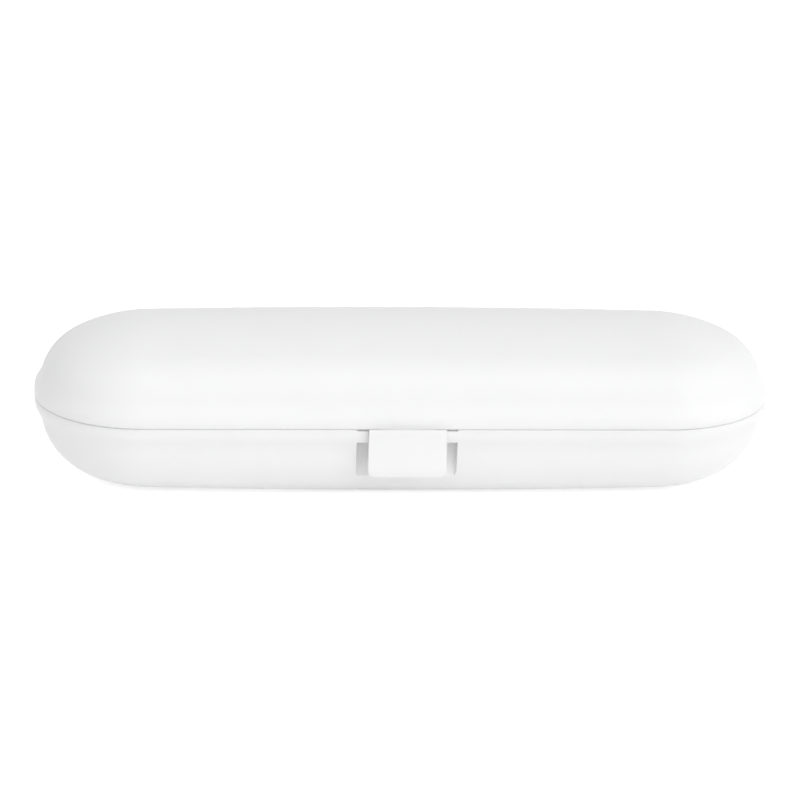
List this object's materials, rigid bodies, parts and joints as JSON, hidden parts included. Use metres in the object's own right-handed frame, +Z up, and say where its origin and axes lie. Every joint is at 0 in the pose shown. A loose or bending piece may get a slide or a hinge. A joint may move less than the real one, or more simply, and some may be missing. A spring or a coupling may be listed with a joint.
{
  "type": "toothbrush travel case",
  "caption": "Hard white travel case for an electric toothbrush: domed base and lid hinged along the back, with a flap latch at the front and moulded bays inside.",
  "frame": {"origin": "middle of the flat face under the base", "axes": "+X along the case towards the end on the right when the latch faces the viewer, -Y towards the latch, +Z up"},
  "size_m": [0.22, 0.0739, 0.0498],
  "materials": {
    "shell_plastic": "fine satin moulded plastic, plain white",
    "latch_plastic": "smooth semi-gloss moulded plastic, plain white",
    "insert_plastic": "matt moulded plastic, very pale grey",
    "pin_steel": "plain drawn steel wire"
  },
  "bodies": {
    "base": {"base_shell": "shell_plastic", "base_tray": "insert_plastic", "hinge_pin_left": "pin_steel", "hinge_pin_right": "pin_steel"},
    "lid": {"lid_shell": "shell_plastic", "lid_liner": "insert_plastic", "latch_pin": "pin_steel"},
    "latch": {"front_latch": "latch_plastic"}
  },
  "joints": [
    {"name": "lid_hinge", "type": "hinge", "parent": "base", "child": "lid", "pos_m": [0, 0.03595, 0.0262], "axis": [-1, 0, 0], "range_deg": [0, 180]},
    {"name": "latch_hinge", "type": "hinge", "parent": "lid", "child": "latch", "pos_m": [0, -0.03385, 0.0252], "axis": [-1, 0, 0], "range_deg": [0, 50]}
  ]
}
